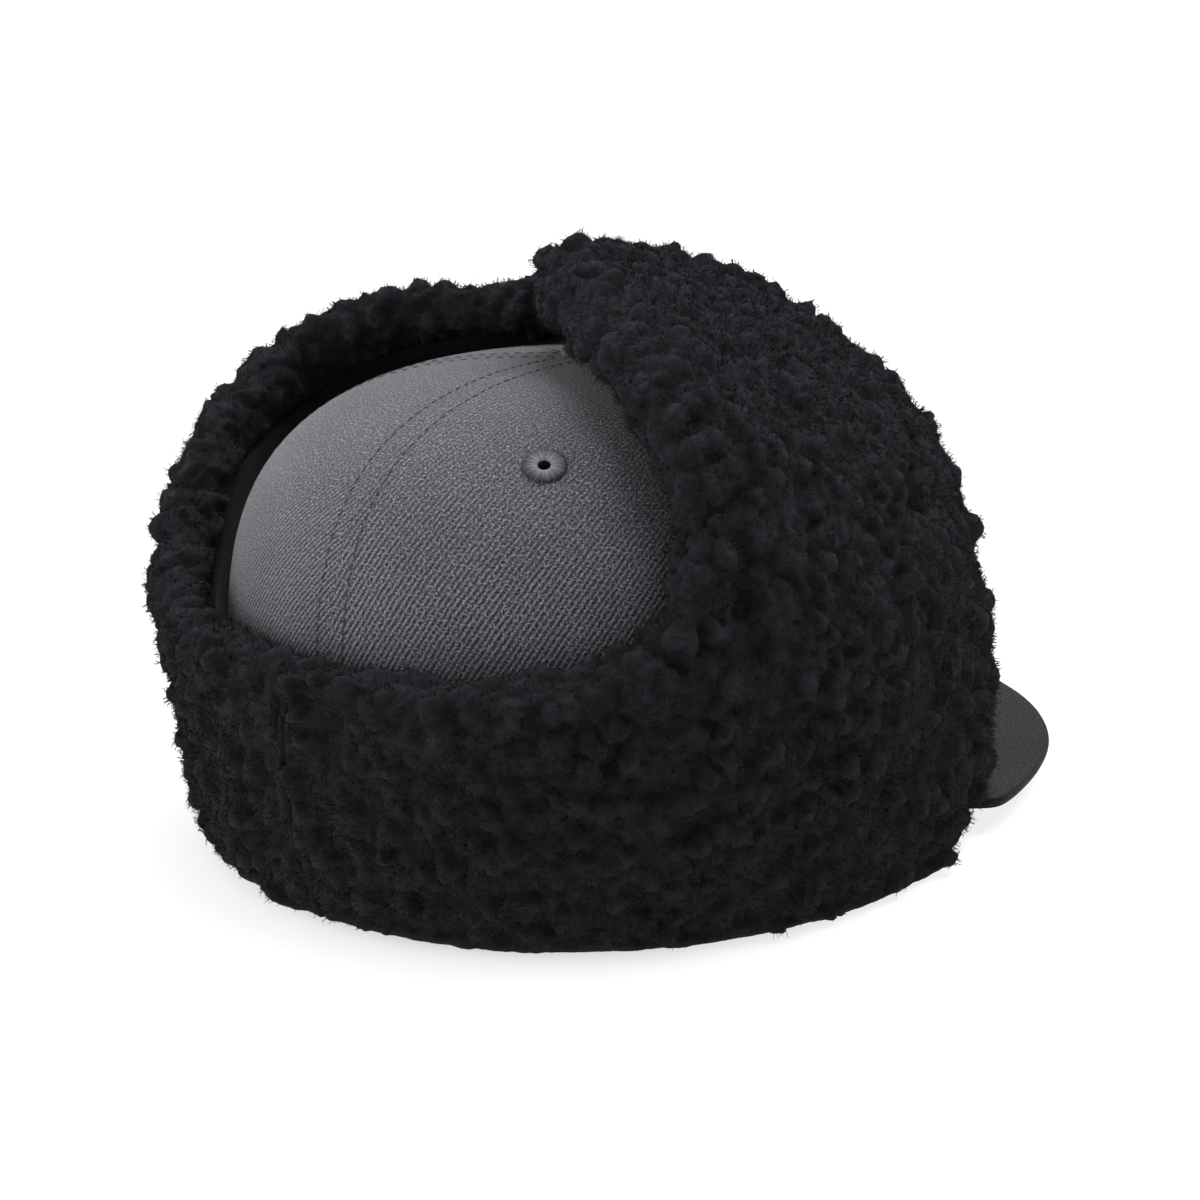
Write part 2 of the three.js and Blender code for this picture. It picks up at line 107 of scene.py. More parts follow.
def linear(colour):
    """An sRGB hex colour as linear red, green, blue and alpha."""
    parts = [int(colour[i : i + 2], 16) / 255 for i in (1, 3, 5)]
    return [c / 12.92 if c <= 0.04045 else ((c + 0.055) / 1.055) ** 2.4 for c in parts] + [1.0]


def add(tree, kind, sockets=None, **settings):
    """Adds a node with its settings. A socket given another node's output is linked, and otherwise set."""
    made = tree.nodes.new(kind)
    for name, value in settings.items():
        setattr(made, name, value)
    for name, value in (sockets or {}).items():
        if isinstance(value, bpy.types.NodeSocket):
            tree.links.new(value, made.inputs[name])
        else:
            made.inputs[name].default_value = value
    return made


def new_material(name):
    """An empty node material and its tree, with the shader and the output joined."""
    material = bpy.data.materials.new(name)
    material.use_nodes = True
    tree = material.node_tree
    tree.nodes.clear()
    shader = add(tree, "ShaderNodeBsdfPrincipled")
    add(tree, "ShaderNodeOutputMaterial", {"Surface": shader.outputs[0]})
    return material, tree, shader


def set_ramp(ramp, stops):
    """Gives a colour ramp its stops, as (place, sRGB hex) pairs."""
    while len(ramp.color_ramp.elements) < len(stops):
        ramp.color_ramp.elements.new(0.5)
    for element, (place, colour) in zip(ramp.color_ramp.elements, stops):
        element.position = place
        element.color = linear(colour)


def placed(bm, name, material):
    """A bmesh as a smooth-shaded object in the scene."""
    mesh = bpy.data.meshes.new(name)
    bm.to_mesh(mesh)
    bm.free()
    made = bpy.data.objects.new(name, mesh)
    bpy.context.scene.collection.objects.link(made)
    mesh.shade_smooth()
    mesh.materials.append(material)
    return made


def finished(bm, name, material):
    """A bmesh as a piece of the cap that rides on its only body."""
    piece = placed(bm, name, material)
    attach(piece, "root")
    return piece


def applied(piece):
    """Makes a piece's modifiers part of its mesh."""
    seen = piece.evaluated_get(bpy.context.evaluated_depsgraph_get())
    mesh = bpy.data.meshes.new_from_object(seen)
    old = piece.data
    piece.modifiers.clear()
    piece.data = mesh
    bpy.data.meshes.remove(old)
    return piece


def welded(node):
    """A merged copy of a CAD node as a bmesh of quads, with its sharp folds creased."""
    bm = bmesh.new()
    bm.from_mesh(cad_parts[node].data)
    bmesh.ops.remove_doubles(bm, verts=bm.verts, dist=WELD_DISTANCE)
    bmesh.ops.join_triangles(bm, faces=bm.faces, angle_face_threshold=0.7, angle_shape_threshold=1.2)
    crease = bm.edges.layers.float.new("crease_edge")
    for edge in bm.edges:
        if len(edge.link_faces) == 2 and edge.calc_face_angle(0) > SHARP_FOLD:
            edge[crease] = 1.0
    return bm


def smoothed(piece, levels):
    """Rounds off a piece's facets."""
    modifier = piece.modifiers.new("rounded", "SUBSURF")
    modifier.levels = levels
    modifier.render_levels = levels
    return applied(piece)


# Wool twill: thin raised wales of lighter yarn over a darker ground of small floats, with pale flecks of
# fibre in the nap. The nap hides the wales more towards the top of the crown, where it is worn. Real fibres
# are far finer than a pixel, so each speck is drawn coarser and stands for a tuft of them.
twill, tree, shader = new_material("grey_wool_twill")
cloth = add(tree, "ShaderNodeUVMap", uv_map="cloth").outputs[0]
wander = add(tree, "ShaderNodeTexNoise", {"Vector": cloth, "Scale": YARN_WANDER_FINENESS, "Detail": 3.0})
wandered = add(
    tree, "ShaderNodeVectorMath", {0: wander.outputs["Color"], 1: (0.5, 0.5, 0.5)},
    operation="SUBTRACT",
)
wandered = add(
    tree, "ShaderNodeVectorMath", {0: wandered.outputs[0], "Scale": YARN_WANDER},
    operation="SCALE",
)
yarn = add(tree, "ShaderNodeVectorMath", {0: cloth, 1: wandered.outputs[0]}, operation="ADD").outputs[0]
across = (math.sin(WALE_SLANT) / WALE_PITCH, -math.cos(WALE_SLANT) / WALE_PITCH, 0)
along = (math.cos(WALE_SLANT) / FLOAT_LENGTH, math.sin(WALE_SLANT) / FLOAT_LENGTH, 0)
wale = add(tree, "ShaderNodeVectorMath", {0: yarn, 1: across}, operation="DOT_PRODUCT").outputs["Value"]
wale_height = add(tree, "ShaderNodeMath", {0: wale, 1: 0.5}, operation="PINGPONG").outputs[0]
ridge = add(
    tree, "ShaderNodeMapRange", {"Value": wale_height, 1: 0.16, 2: 0.4},
    interpolation_type="SMOOTHSTEP",
).outputs[0]
run = add(tree, "ShaderNodeVectorMath", {0: yarn, 1: along}, operation="DOT_PRODUCT").outputs["Value"]
thirds = add(tree, "ShaderNodeMath", {0: wale, 1: 3.0}, operation="MULTIPLY").outputs[0]
course = add(tree, "ShaderNodeMath", {0: run, 1: thirds}, operation="ADD").outputs[0]
dot = add(tree, "ShaderNodeMath", {0: course, 1: 0.5}, operation="PINGPONG").outputs[0]
other_dot = add(tree, "ShaderNodeMath", {0: thirds, 1: 0.5}, operation="PINGPONG").outputs[0]
floats = add(tree, "ShaderNodeMath", {0: dot, 1: other_dot}, operation="MULTIPLY").outputs[0]
fibre = add(
    tree, "ShaderNodeTexNoise", {"Vector": cloth, "Scale": FIBRE_FINENESS, "Detail": 2.0, "Roughness": 0.6},
).outputs["Fac"]
height = add(
    tree, "ShaderNodeSeparateXYZ", {0: add(tree, "ShaderNodeTexCoord").outputs["Object"]},
).outputs["Z"]
napped = add(
    tree, "ShaderNodeMapRange", {"Value": height, 1: WORN_FROM, 2: WORN_TO, 3: 1.0, 4: WALES_LEFT_ON_TOP},
    interpolation_type="SMOOTHSTEP",
).outputs[0]
ridge = add(tree, "ShaderNodeMath", {0: ridge, 1: napped}, operation="MULTIPLY").outputs[0]
fibre = add(
    tree, "ShaderNodeMapRange", {"Value": fibre, 1: 0.34, 2: 0.66, 4: 0.48},
    interpolation_type="SMOOTHSTEP",
).outputs[0]
weave = add(tree, "ShaderNodeMath", {0: napped, 1: -0.18, 2: 0.11}, operation="MULTIPLY_ADD").outputs[0]
weave = add(tree, "ShaderNodeMath", {0: weave, 1: fibre}, operation="ADD").outputs[0]
weave = add(tree, "ShaderNodeMath", {0: ridge, 1: 0.46, 2: weave}, operation="MULTIPLY_ADD").outputs[0]
floats = add(tree, "ShaderNodeMath", {0: floats, 1: napped}, operation="MULTIPLY").outputs[0]
weave = add(tree, "ShaderNodeMath", {0: floats, 1: 0.45, 2: weave}, operation="MULTIPLY_ADD").outputs[0]
weave_colour = add(tree, "ShaderNodeValToRGB", {"Fac": weave})
set_ramp(weave_colour, [(0.0, "#19191d"), (0.25, "#35353a"), (0.55, "#5c5b62"), (1.0, "#9b9aa2")])
nap = add(
    tree, "ShaderNodeTexNoise", {"Vector": cloth, "Scale": NAP_FINENESS, "Detail": 2.0, "Roughness": 0.7},
).outputs["Fac"]
fleck = add(
    tree, "ShaderNodeMapRange", {"Value": nap, 1: 0.53, 2: 0.68, 4: 0.85},
    interpolation_type="SMOOTHSTEP",
).outputs[0]
mixed = add(
    tree, "ShaderNodeMix", {0: fleck, 6: weave_colour.outputs[0], 7: linear("#9d9ca4")},
    data_type="RGBA",
).outputs[2]
patch = add(
    tree, "ShaderNodeTexNoise", {"Vector": cloth, "Scale": PATCH_FINENESS, "Detail": 4.0},
).outputs["Fac"]
shade = add(tree, "ShaderNodeMapRange", {"Value": patch, 1: 0.3, 2: 0.7, 3: 0.76, 4: 0.95}).outputs[0]
seam = add(tree, "ShaderNodeAttribute", attribute_name="seam").outputs["Fac"]
# Painted shade: the twill's colour is darkened in a thin line along each seam and along each stitch row, where
# the cloth dips in. The row's mask also sets the dent of its bump.
seam_painted_shade = add(
    tree, "ShaderNodeMapRange", {"Value": seam, 1: 0.1 * MM, 2: 0.45 * MM, 3: 0.86, 4: 1.0},
    interpolation_type="SMOOTHSTEP",
).outputs[0]
from_row = add(tree, "ShaderNodeMath", {0: seam, 1: ROW_OFFSET}, operation="SUBTRACT").outputs[0]
from_row = add(tree, "ShaderNodeMath", {0: from_row}, operation="ABSOLUTE").outputs[0]
row_dent_and_painted_shade = add(
    tree, "ShaderNodeMapRange", {"Value": from_row, 1: 0.1 * MM, 2: 0.8 * MM, 3: 0.9, 4: 1.0},
    interpolation_type="SMOOTHSTEP",
).outputs[0]
seam_painted_shade = add(tree, "ShaderNodeMath", {0: seam_painted_shade, 1: row_dent_and_painted_shade}, operation="MULTIPLY").outputs[0]
shade = add(tree, "ShaderNodeMath", {0: shade, 1: seam_painted_shade}, operation="MULTIPLY").outputs[0]
toned = add(tree, "ShaderNodeVectorMath", {0: mixed, "Scale": shade}, operation="SCALE").outputs[0]
tree.links.new(toned, shader.inputs["Base Color"])
shader.inputs["Roughness"].default_value = 0.95
shader.inputs["Specular IOR Level"].default_value = 0.2
shader.inputs["Sheen Weight"].default_value = 0.15
shader.inputs["Sheen Roughness"].default_value = 0.5
bump = add(tree, "ShaderNodeBump", {"Strength": 0.8, "Distance": WEAVE_DEPTH, "Height": weave})
seam_step = add(
    tree, "ShaderNodeMapRange", {"Value": seam, 1: 0.0, 2: SEAM_DENT_WIDTH},
    interpolation_type="SMOOTHSTEP",
).outputs[0]
seam_step = add(tree, "ShaderNodeMath", {0: seam_step, 1: row_dent_and_painted_shade}, operation="MULTIPLY").outputs[0]
seam_bump = add(
    tree, "ShaderNodeBump",
    {"Strength": 1.0, "Distance": SEAM_DENT, "Height": seam_step, "Normal": bump.outputs[0]},
)
tree.links.new(seam_bump.outputs[0], shader.inputs["Normal"])

# The cloth map's upward measure is the length along the crown's side, found by its angle seen from the floor.
climbs = np.linspace(0, math.pi / 2, 200)
profile_up = CROWN_HEIGHT * np.sin(climbs) ** (2 / CROWN_SQUARENESS)
profile_out = CROWN_HALF_LENGTH * np.cos(climbs) ** (2 / CROWN_SQUARENESS)
profile_angle = np.arctan2(profile_up, profile_out)
profile_length = np.concatenate([[0], np.cumsum(np.hypot(np.diff(profile_up), np.diff(profile_out)))])


OUTWARD_FACING = 0.3
OUTER_LEVEL = 0.96
EDGE_DISTANCE = 0.25 * MM
EDGE_SHARE = 0.013
POLE_REACH = 4 * MM


def lay_cloth(piece, middle_turn, panel=True):
    """Gives a crown piece its cloth map in metres and each point's distance from the panel's side seams.

    A panel's outer face is also brought back onto the crown's own curve, where it meets the next panels.
    A level is 1 on that curve and less inside it.
    """
    bm = bmesh.new()
    bm.from_mesh(piece.data)
    bm.normal_update()
    layer = bm.loops.layers.uv.new("cloth")
    seam_layer = bm.verts.layers.float.new("seam")
    place = {}
    for vert in bm.verts:
        share = ramp_up(vert.co.z, 0, CROWN_HEIGHT)
        back = vert.co.y - crown_middle(share)
        turn = math.atan2(-vert.co.x, back) - middle_turn
        turn = (turn + math.pi) % (2 * math.pi) - math.pi
        reach = math.hypot(vert.co.x, back)
        from_seam = reach * (HALF_PANEL - abs(turn))
        outward = vert.normal.dot(Vector((vert.co.x, back, vert.co.z)).normalized()) > OUTWARD_FACING
        level = math.hypot(vert.co.x / CROWN_HALF_WIDTH, back / CROWN_HALF_LENGTH)
        level = (level**CROWN_SQUARENESS + share**CROWN_SQUARENESS) ** (1 / CROWN_SQUARENESS)
        if panel and outward and level > OUTER_LEVEL:
            lifted = min(vert.co.z / level / CROWN_HEIGHT, 1)
            vert.co = Vector((vert.co.x / level, crown_middle(lifted) + back / level, vert.co.z / level))
        if panel and outward and from_seam < max(EDGE_DISTANCE, EDGE_SHARE * reach):
            swing = from_seam / max(reach, POLE_REACH) * (1 if turn > 0 else -1)
            swing = Matrix.Rotation(swing, 4, "Z")
            axis = Matrix.Translation((0, crown_middle(ramp_up(vert.co.z, 0, CROWN_HEIGHT)), 0))
            vert.co = axis @ swing @ axis.inverted() @ vert.co
        climb = np.interp(math.atan2(vert.co.z, reach), profile_angle, profile_length)
        place[vert] = (reach * turn, float(climb))
        vert[seam_layer] = max(from_seam, 0)
    bm.normal_update()
    for face in bm.faces:
        face.smooth = True
        for loop in face.loops:
            loop[layer].uv = place[loop.vert]
    for edge in bm.edges:
        edge.smooth = edge.calc_face_angle(0) < SHARP_FOLD
    bm.to_mesh(piece.data)
    bm.free()


# The eyelet's place is settled here, because its hole goes through the back right panel.
EYELET_TURN = math.radians(32)
EYELET_UP = 109.3 * MM
EYELET_CLIMB = math.asin((EYELET_UP / CROWN_HEIGHT) ** (CROWN_SQUARENESS / 2)) / (math.pi / 2)
EYELET_CUT = 3.4 * MM
eyelet_seat = crown_point(EYELET_TURN, EYELET_CLIMB)
eyelet_turned = crown_normal(EYELET_TURN, EYELET_CLIMB).to_track_quat("Z", "Y").to_matrix().to_4x4()
eyelet_place = Matrix.Translation(eyelet_seat) @ eyelet_turned

# Each panel with its middle's turn in degrees from the back, by the wearer's right.
PANELS = {
    "crown_panel_back_right": 30, "crown_panel_side_right": 90, "crown_panel_front_right": 150,
    "crown_panel_front_left": 210, "crown_panel_side_left": 270, "crown_panel_back_left": 330,
}
for node, middle_turn in PANELS.items():
    mirrored = node == "crown_panel_back_right"
    bm = welded("crown_panel_back_left" if mirrored else node)
    if mirrored:
        bmesh.ops.scale(bm, vec=(-1, 1, 1), verts=bm.verts)
        bmesh.ops.reverse_faces(bm, faces=bm.faces)
    panel = smoothed(finished(bm, "cloth_" + node, twill), 2)
    if mirrored:
        punch = bmesh.new()
        bmesh.ops.create_cone(
            punch, cap_ends=True, segments=28, radius1=EYELET_CUT, radius2=EYELET_CUT,
            depth=12 * MM, matrix=eyelet_place,
        )
        punch = finished(punch, "eyelet_punch", twill)
        cut = panel.modifiers.new("eyelet_hole", "BOOLEAN")
        cut.operation = "DIFFERENCE"
        cut.object = punch
        applied(panel)
        bpy.data.objects.remove(punch)
    lay_cloth(panel, math.radians(middle_turn))
    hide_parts(node)


# Seam stitching: two rows of top-stitches hold each seam's turned-in edges flat, 4 mm to either side.
# They are in dull grey thread, pulled a little into the cloth.
STITCH_PITCH = 3.1 * MM
STITCH_LENGTH = 2.1 * MM
THREAD = 0.38 * MM
PLY_FINENESS = 2.5 / MM
ROW_START_CLIMB = 0.02
ROW_END_REACH = 11 * MM
CLIMB_STEP = 0.002
HIGHEST_CLIMB = 0.9999

# Spun thread: dull dark grey, a little mottled by its plies.
thread, tree, shader = new_material("spun_polyester_thread")
spot = add(tree, "ShaderNodeTexCoord").outputs["Object"]
ply = add(tree, "ShaderNodeTexNoise", {"Vector": spot, "Scale": PLY_FINENESS})
ply_colour = add(tree, "ShaderNodeValToRGB", {"Fac": ply.outputs["Fac"]})
set_ramp(ply_colour, [(0.3, "#1e1e22"), (0.7, "#38383d")])
tree.links.new(ply_colour.outputs[0], shader.inputs["Base Color"])
shader.inputs["Roughness"].default_value = 0.75
shader.inputs["Specular IOR Level"].default_value = 0.3


def sew(bm, start, end, normal):
    """Adds one stitch between two points: a rounded length of thread, sunk by a third into the cloth."""
    along = (end - start).normalized()
    side = normal.cross(along).normalized()
    turned = Matrix((along, side, side.cross(along) * -1)).transposed().to_4x4()
    size = Matrix.Diagonal(((end - start).length / 2, THREAD / 2, THREAD / 2, 1))
    middle = Matrix.Translation((start + end) / 2 + normal * THREAD / 8)
    bmesh.ops.create_icosphere(bm, subdivisions=1, radius=1, matrix=middle @ turned @ size)


bm = bmesh.new()
for seam_turn in (number * math.pi / 3 for number in range(6)):
    for side in (-1, 1):
        climb = ROW_START_CLIMB
        reach = CROWN_HALF_WIDTH
        while reach > ROW_END_REACH:
            points = []
            rise = crown_point(seam_turn, min(climb + CLIMB_STEP, 1)) - crown_point(seam_turn, climb)
            for step in (0, STITCH_LENGTH, STITCH_PITCH):
                there = min(climb + step * CLIMB_STEP / rise.length, HIGHEST_CLIMB)
                spot = crown_point(seam_turn, there)
                reach = math.hypot(spot.x, spot.y - crown_middle(min(spot.z / CROWN_HEIGHT, 1)))
                points.append((seam_turn + side * ROW_OFFSET / reach, there))
            start, end, following = points
            sew(bm, crown_point(*start), crown_point(*end), crown_normal(*start))
            climb = following[1]
finished(bm, "crown_seam_stitches", thread)


# Eyelet: a hole bound all round with close radial stitches of grey thread.
# Each stitch arches over the hole's edge, so the ring stands a little proud of the cloth.
EYELET_OUTSIDE = 5.1 * MM
EYELET_HOLE = 1.7 * MM
EYELET_STITCHES = 54
EYELET_THREAD = 0.27 * MM
EYELET_FLATNESS = 0.36
EYELET_CORE_DEPTH = 0.2 * MM
EYELET_STAND = 0.1 * MM
GOLDEN_SHARE = 0.618

# Embroidery thread: a satin grey, each stitch a slightly different tone, and painted darker towards its outer
# end as shade where it goes down into the cloth.
bound, tree, shader = new_material("embroidery_thread")
tone = add(tree, "ShaderNodeAttribute", attribute_name="tone").outputs["Fac"]
ply_colour = add(tree, "ShaderNodeValToRGB", {"Fac": tone})
set_ramp(ply_colour, [(0.0, "#1b1b20"), (0.35, "#36363d"), (0.65, "#55555f"), (1.0, "#9494a2")])
tree.links.new(ply_colour.outputs[0], shader.inputs["Base Color"])
shader.inputs["Roughness"].default_value = 0.6
shader.inputs["Specular IOR Level"].default_value = 0.4


def edges_at(verts):
    """The edges that meet at some points, each once."""
    return list(dict.fromkeys(edge for vert in verts for edge in vert.link_edges))


bm = bmesh.new()
tone = bm.verts.layers.float.new("tone")
half = (EYELET_OUTSIDE - EYELET_HOLE) / 2
for number in range(EYELET_STITCHES):
    ring = bmesh.ops.create_circle(bm, segments=6, radius=EYELET_THREAD)["verts"]
    bmesh.ops.translate(bm, vec=(half, 0, 0), verts=ring)
    bmesh.ops.spin(bm, geom=ring + edges_at(ring), angle=-math.pi, steps=7, axis=(0, 1, 0), cent=(0, 0, 0))
    stitch = [vert for vert in bm.verts if vert.index == -1 or not vert.tag]
    for vert in stitch:
        vert.tag = True
    bmesh.ops.scale(bm, vec=(1, 1, EYELET_FLATNESS), verts=stitch)
    bmesh.ops.translate(bm, vec=(EYELET_HOLE + half, 0, 0), verts=stitch)
    for vert in stitch:
        out = (vert.co.x - EYELET_HOLE) / (2 * half)
        # Painted shade: each stitch's tone falls towards its outer end; the golden share gives each stitch its
        # own random tone.
        vert[tone] = 0.6 - 0.5 * out + 0.35 * (number * GOLDEN_SHARE % 1)
    turned = Matrix.Rotation(number * 2 * math.pi / EYELET_STITCHES, 4, "Z")
    bmesh.ops.transform(bm, matrix=turned, verts=stitch)
core = bmesh.ops.create_circle(bm, segments=12, radius=0.5 * half)["verts"]
bmesh.ops.rotate(bm, matrix=Matrix.Rotation(math.pi / 2, 3, "X"), verts=core)
bmesh.ops.scale(bm, vec=(1.9, 1, 0.5), verts=core)
bmesh.ops.translate(bm, vec=(EYELET_HOLE + half, 0, -EYELET_CORE_DEPTH), verts=core)
bmesh.ops.spin(
    bm, geom=core + edges_at(core), angle=2 * math.pi, steps=32, axis=(0, 0, 1), cent=(0, 0, 0),
    use_merge=True,
)
bmesh.ops.holes_fill(bm, edges=bm.edges, sides=6)
bmesh.ops.transform(bm, matrix=eyelet_place @ Matrix.Translation((0, 0, EYELET_STAND)), verts=bm.verts)
bmesh.ops.recalc_face_normals(bm, faces=bm.faces)
eyelet = finished(bm, "bound_eyelet", bound)
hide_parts("eyelet_back_right")


# Button: a small round mould covered with the crown's twill, on top where the six panels meet.
# The real one is held by a shank through the panels' points, which isn't seen.
bm = welded("top_button")
button = smoothed(finished(bm, "twill_button", twill), 2)
lay_cloth(button, 0, panel=False)
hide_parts("top_button")


# Peak: a stiff board covered in dark cloth, sewn to the front of the rim.
# The cloth is drawn tight round the board's free edge, where its colour is painted darker as shade.
PEAK_WALES = (0.9 / MM, 0.7 / MM, 0.0)
PEAK_NAP_FINENESS = 1.3 / MM
PEAK_SPECK_FINENESS = 1.5 / MM
PEAK_WEAR_FINENESS = 0.04 / MM
PEAK_WEAVE_DEPTH = 0.2 * MM

# Dark cotton: a fine slanting weave with dust-grey specks, painted almost black as shade where it bends round
# the edge.
peak_cloth, tree, shader = new_material("dark_cotton_twill")
spot = add(tree, "ShaderNodeTexCoord").outputs["Object"]
wale = add(tree, "ShaderNodeVectorMath", {0: spot, 1: PEAK_WALES}, operation="DOT_PRODUCT").outputs["Value"]
wale = add(tree, "ShaderNodeMath", {0: wale, 1: 0.5}, operation="PINGPONG").outputs[0]
wale = add(
    tree, "ShaderNodeMapRange", {"Value": wale, 1: 0.1, 2: 0.4},
    interpolation_type="SMOOTHSTEP",
).outputs[0]
nap = add(tree, "ShaderNodeTexNoise", {"Vector": spot, "Scale": PEAK_NAP_FINENESS, "Detail": 3.0})
wear = add(tree, "ShaderNodeTexNoise", {"Vector": spot, "Scale": PEAK_WEAR_FINENESS, "Detail": 3.0})
wale = add(tree, "ShaderNodeMath", {0: wale, 1: 0.18}, operation="MULTIPLY").outputs[0]
grain = add(
    tree, "ShaderNodeMath", {0: nap.outputs["Fac"], 1: 1.3, 2: wale},
    operation="MULTIPLY_ADD",
).outputs[0]
shown = add(tree, "ShaderNodeMath", {0: grain, 1: 0.7}, operation="MULTIPLY").outputs[0]
peak_colour = add(tree, "ShaderNodeValToRGB", {"Fac": shown})
set_ramp(peak_colour, [(0.38, "#060605"), (0.5, "#131312"), (0.62, "#2e2e2b")])
speck = add(
    tree, "ShaderNodeTexNoise", {"Vector": spot, "Scale": PEAK_SPECK_FINENESS, "Detail": 2.0, "Roughness": 0.7},
)
speck = add(tree, "ShaderNodeMapRange", {"Value": speck.outputs["Fac"], 1: 0.54, 2: 0.68, 4: 0.55})
specked = add(
    tree, "ShaderNodeMix", {0: speck.outputs[0], 6: peak_colour.outputs[0], 7: linear("#54544f")},
    data_type="RGBA",
).outputs[2]
upward = add(
    tree, "ShaderNodeSeparateXYZ", {0: add(tree, "ShaderNodeNewGeometry").outputs["Normal"]},
).outputs["Z"]
upward = add(tree, "ShaderNodeMath", {0: upward}, operation="ABSOLUTE").outputs[0]
# Painted shade: faces that turn from flat to upright round the edge are darkened; the wear noise below is
# random tone.
edge_painted_shade = add(
    tree, "ShaderNodeMapRange", {"Value": upward, 1: 0.8, 2: 0.99, 3: 0.1, 4: 1.0},
    interpolation_type="SMOOTHSTEP",
).outputs[0]
wear_and_edge_shade = add(
    tree, "ShaderNodeMapRange", {"Value": wear.outputs["Fac"], 1: 0.3, 2: 0.7, 3: 0.85, 4: 1.12},
).outputs[0]
wear_and_edge_shade = add(tree, "ShaderNodeMath", {0: wear_and_edge_shade, 1: edge_painted_shade}, operation="MULTIPLY").outputs[0]
wear_and_shade_colour = add(tree, "ShaderNodeVectorMath", {0: specked, "Scale": wear_and_edge_shade}, operation="SCALE")
tree.links.new(wear_and_shade_colour.outputs[0], shader.inputs["Base Color"])
shader.inputs["Roughness"].default_value = 0.9
shader.inputs["Specular IOR Level"].default_value = 0.2
shader.inputs["Sheen Weight"].default_value = 0.04
bump = add(tree, "ShaderNodeBump", {"Strength": 0.8, "Distance": PEAK_WEAVE_DEPTH, "Height": grain})
tree.links.new(bump.outputs[0], shader.inputs["Normal"])
peak_piece = smoothed(finished(welded("peak"), "cloth_peak", peak_cloth), 2)
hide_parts("peak")


# Flap facings: smooth cloth, painted near-black as shade, on the side of each flap that lies against the crown.
# The flaps' lower edge is sewn to the crown's rim, and the fleece is turned over the free edge.
FACING_NAP_FINENESS = 0.9 / MM
FACING_SHADE_FINENESS = 0.035 / MM
FACING_NAP_DEPTH = 0.2 * MM
FACING_PRESS = 2 * MM
FACING_ROOM = 0.5 * MM
PRESSED_FROM = 100 * MM
PRESSED_OVER = 12 * MM

# Brushed cotton: even, with only a soft nap; its near-black colour is painted shade, so that the gap beside the
# crown reads as dark.
facing, tree, shader = new_material("brushed_cotton_painted_shade")
spot = add(tree, "ShaderNodeTexCoord").outputs["Object"]
nap = add(tree, "ShaderNodeTexNoise", {"Vector": spot, "Scale": FACING_NAP_FINENESS, "Detail": 4.0})
tone = add(tree, "ShaderNodeTexNoise", {"Vector": spot, "Scale": FACING_SHADE_FINENESS, "Detail": 3.0})
blend = add(
    tree, "ShaderNodeMath", {0: nap.outputs["Fac"], 1: 0.5, 2: tone.outputs["Fac"]},
    operation="MULTIPLY_ADD",
)
facing_painted_shade_colour = add(tree, "ShaderNodeValToRGB", {"Fac": blend.outputs[0]})
set_ramp(facing_painted_shade_colour, [(0.45, "#060607"), (0.75, "#0c0c0e"), (1.0, "#151518")])
tree.links.new(facing_painted_shade_colour.outputs[0], shader.inputs["Base Color"])
shader.inputs["Roughness"].default_value = 0.92
shader.inputs["Specular IOR Level"].default_value = 0.2
shader.inputs["Sheen Weight"].default_value = 0.05
bump = add(
    tree, "ShaderNodeBump", {"Strength": 0.5, "Distance": FACING_NAP_DEPTH, "Height": nap.outputs["Fac"]},
)
tree.links.new(bump.outputs[0], shader.inputs["Normal"])


def near(nodes):
    """A search tree over some CAD nodes."""
    bm = bmesh.new()
    for node in nodes:
        bm.from_mesh(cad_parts[node].data)
    found = BVHTree.FromBMesh(bm)
    bm.free()
    return found


crown_face = near(PANELS)
for side in ("right", "left"):
    lining = smoothed(finished(welded("flap_facing_" + side), "facing_" + side, facing), 1)
    bm = bmesh.new()
    bm.from_mesh(lining.data)
    bm.normal_update()
    for vert in bm.verts:
        inward = -vert.normal.dot(vert.co.normalized())
        if inward > OUTWARD_FACING:
            room = crown_face.find_nearest(vert.co)[3] - FACING_ROOM
            press = min(max(room, 0), FACING_PRESS)
            vert.co += vert.normal * press * ramp_up(vert.co.z, PRESSED_FROM, PRESSED_OVER)
    bm.to_mesh(lining.data)
    bm.free()
    lining.data.shade_smooth()
    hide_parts("flap_facing_" + side)


# Fleece: black curly pile on a knitted backing, cut as one ear flap and half of the low back band a side.
# The pile gathers in soft clumps about 5 mm across, parted by shallow valleys. Its fibres are short and
# crinkled; neighbours lean the same way. The two pieces are sewn together at the middle of the back.
VOXEL = 1.25 * MM
CLUMP = 5.4 * MM
CLUMP_RISE = 2.1 * MM
TUFT = 2.3 * MM
TUFT_RISE = 0.7 * MM
FIBRE_LENGTH = 2.6 * MM
FIBRE_WIDTH = 0.19 * MM
BACK_SEAM_DEPTH = 0.4 * MM
MOTTLE_FINENESS = 0.16 / MM
CRIMP_FINENESS = 0.8 / MM
LEAN_FINENESS = 0.26 / MM
NOISE_SEED = 11
BACK_SEAM_WIDTH = 1.6 * MM
BACK_SEAM_BACK = 60 * MM
BACK_SEAM_TOP = 75 * MM
PILE_ROOM = 1.4 * MM
PILE_ROOM_OVER = 2.4 * MM
PILE_FLOOR = 0.6 * MM
PILE_FLOOR_OVER = 3 * MM
FIBRE_DENSITY = 380000.0
FIBRE_SIZES = (0.45, 1.25)
FIBRE_SWIRL = 4.0
FIBRE_LAYERS = (1, 2)
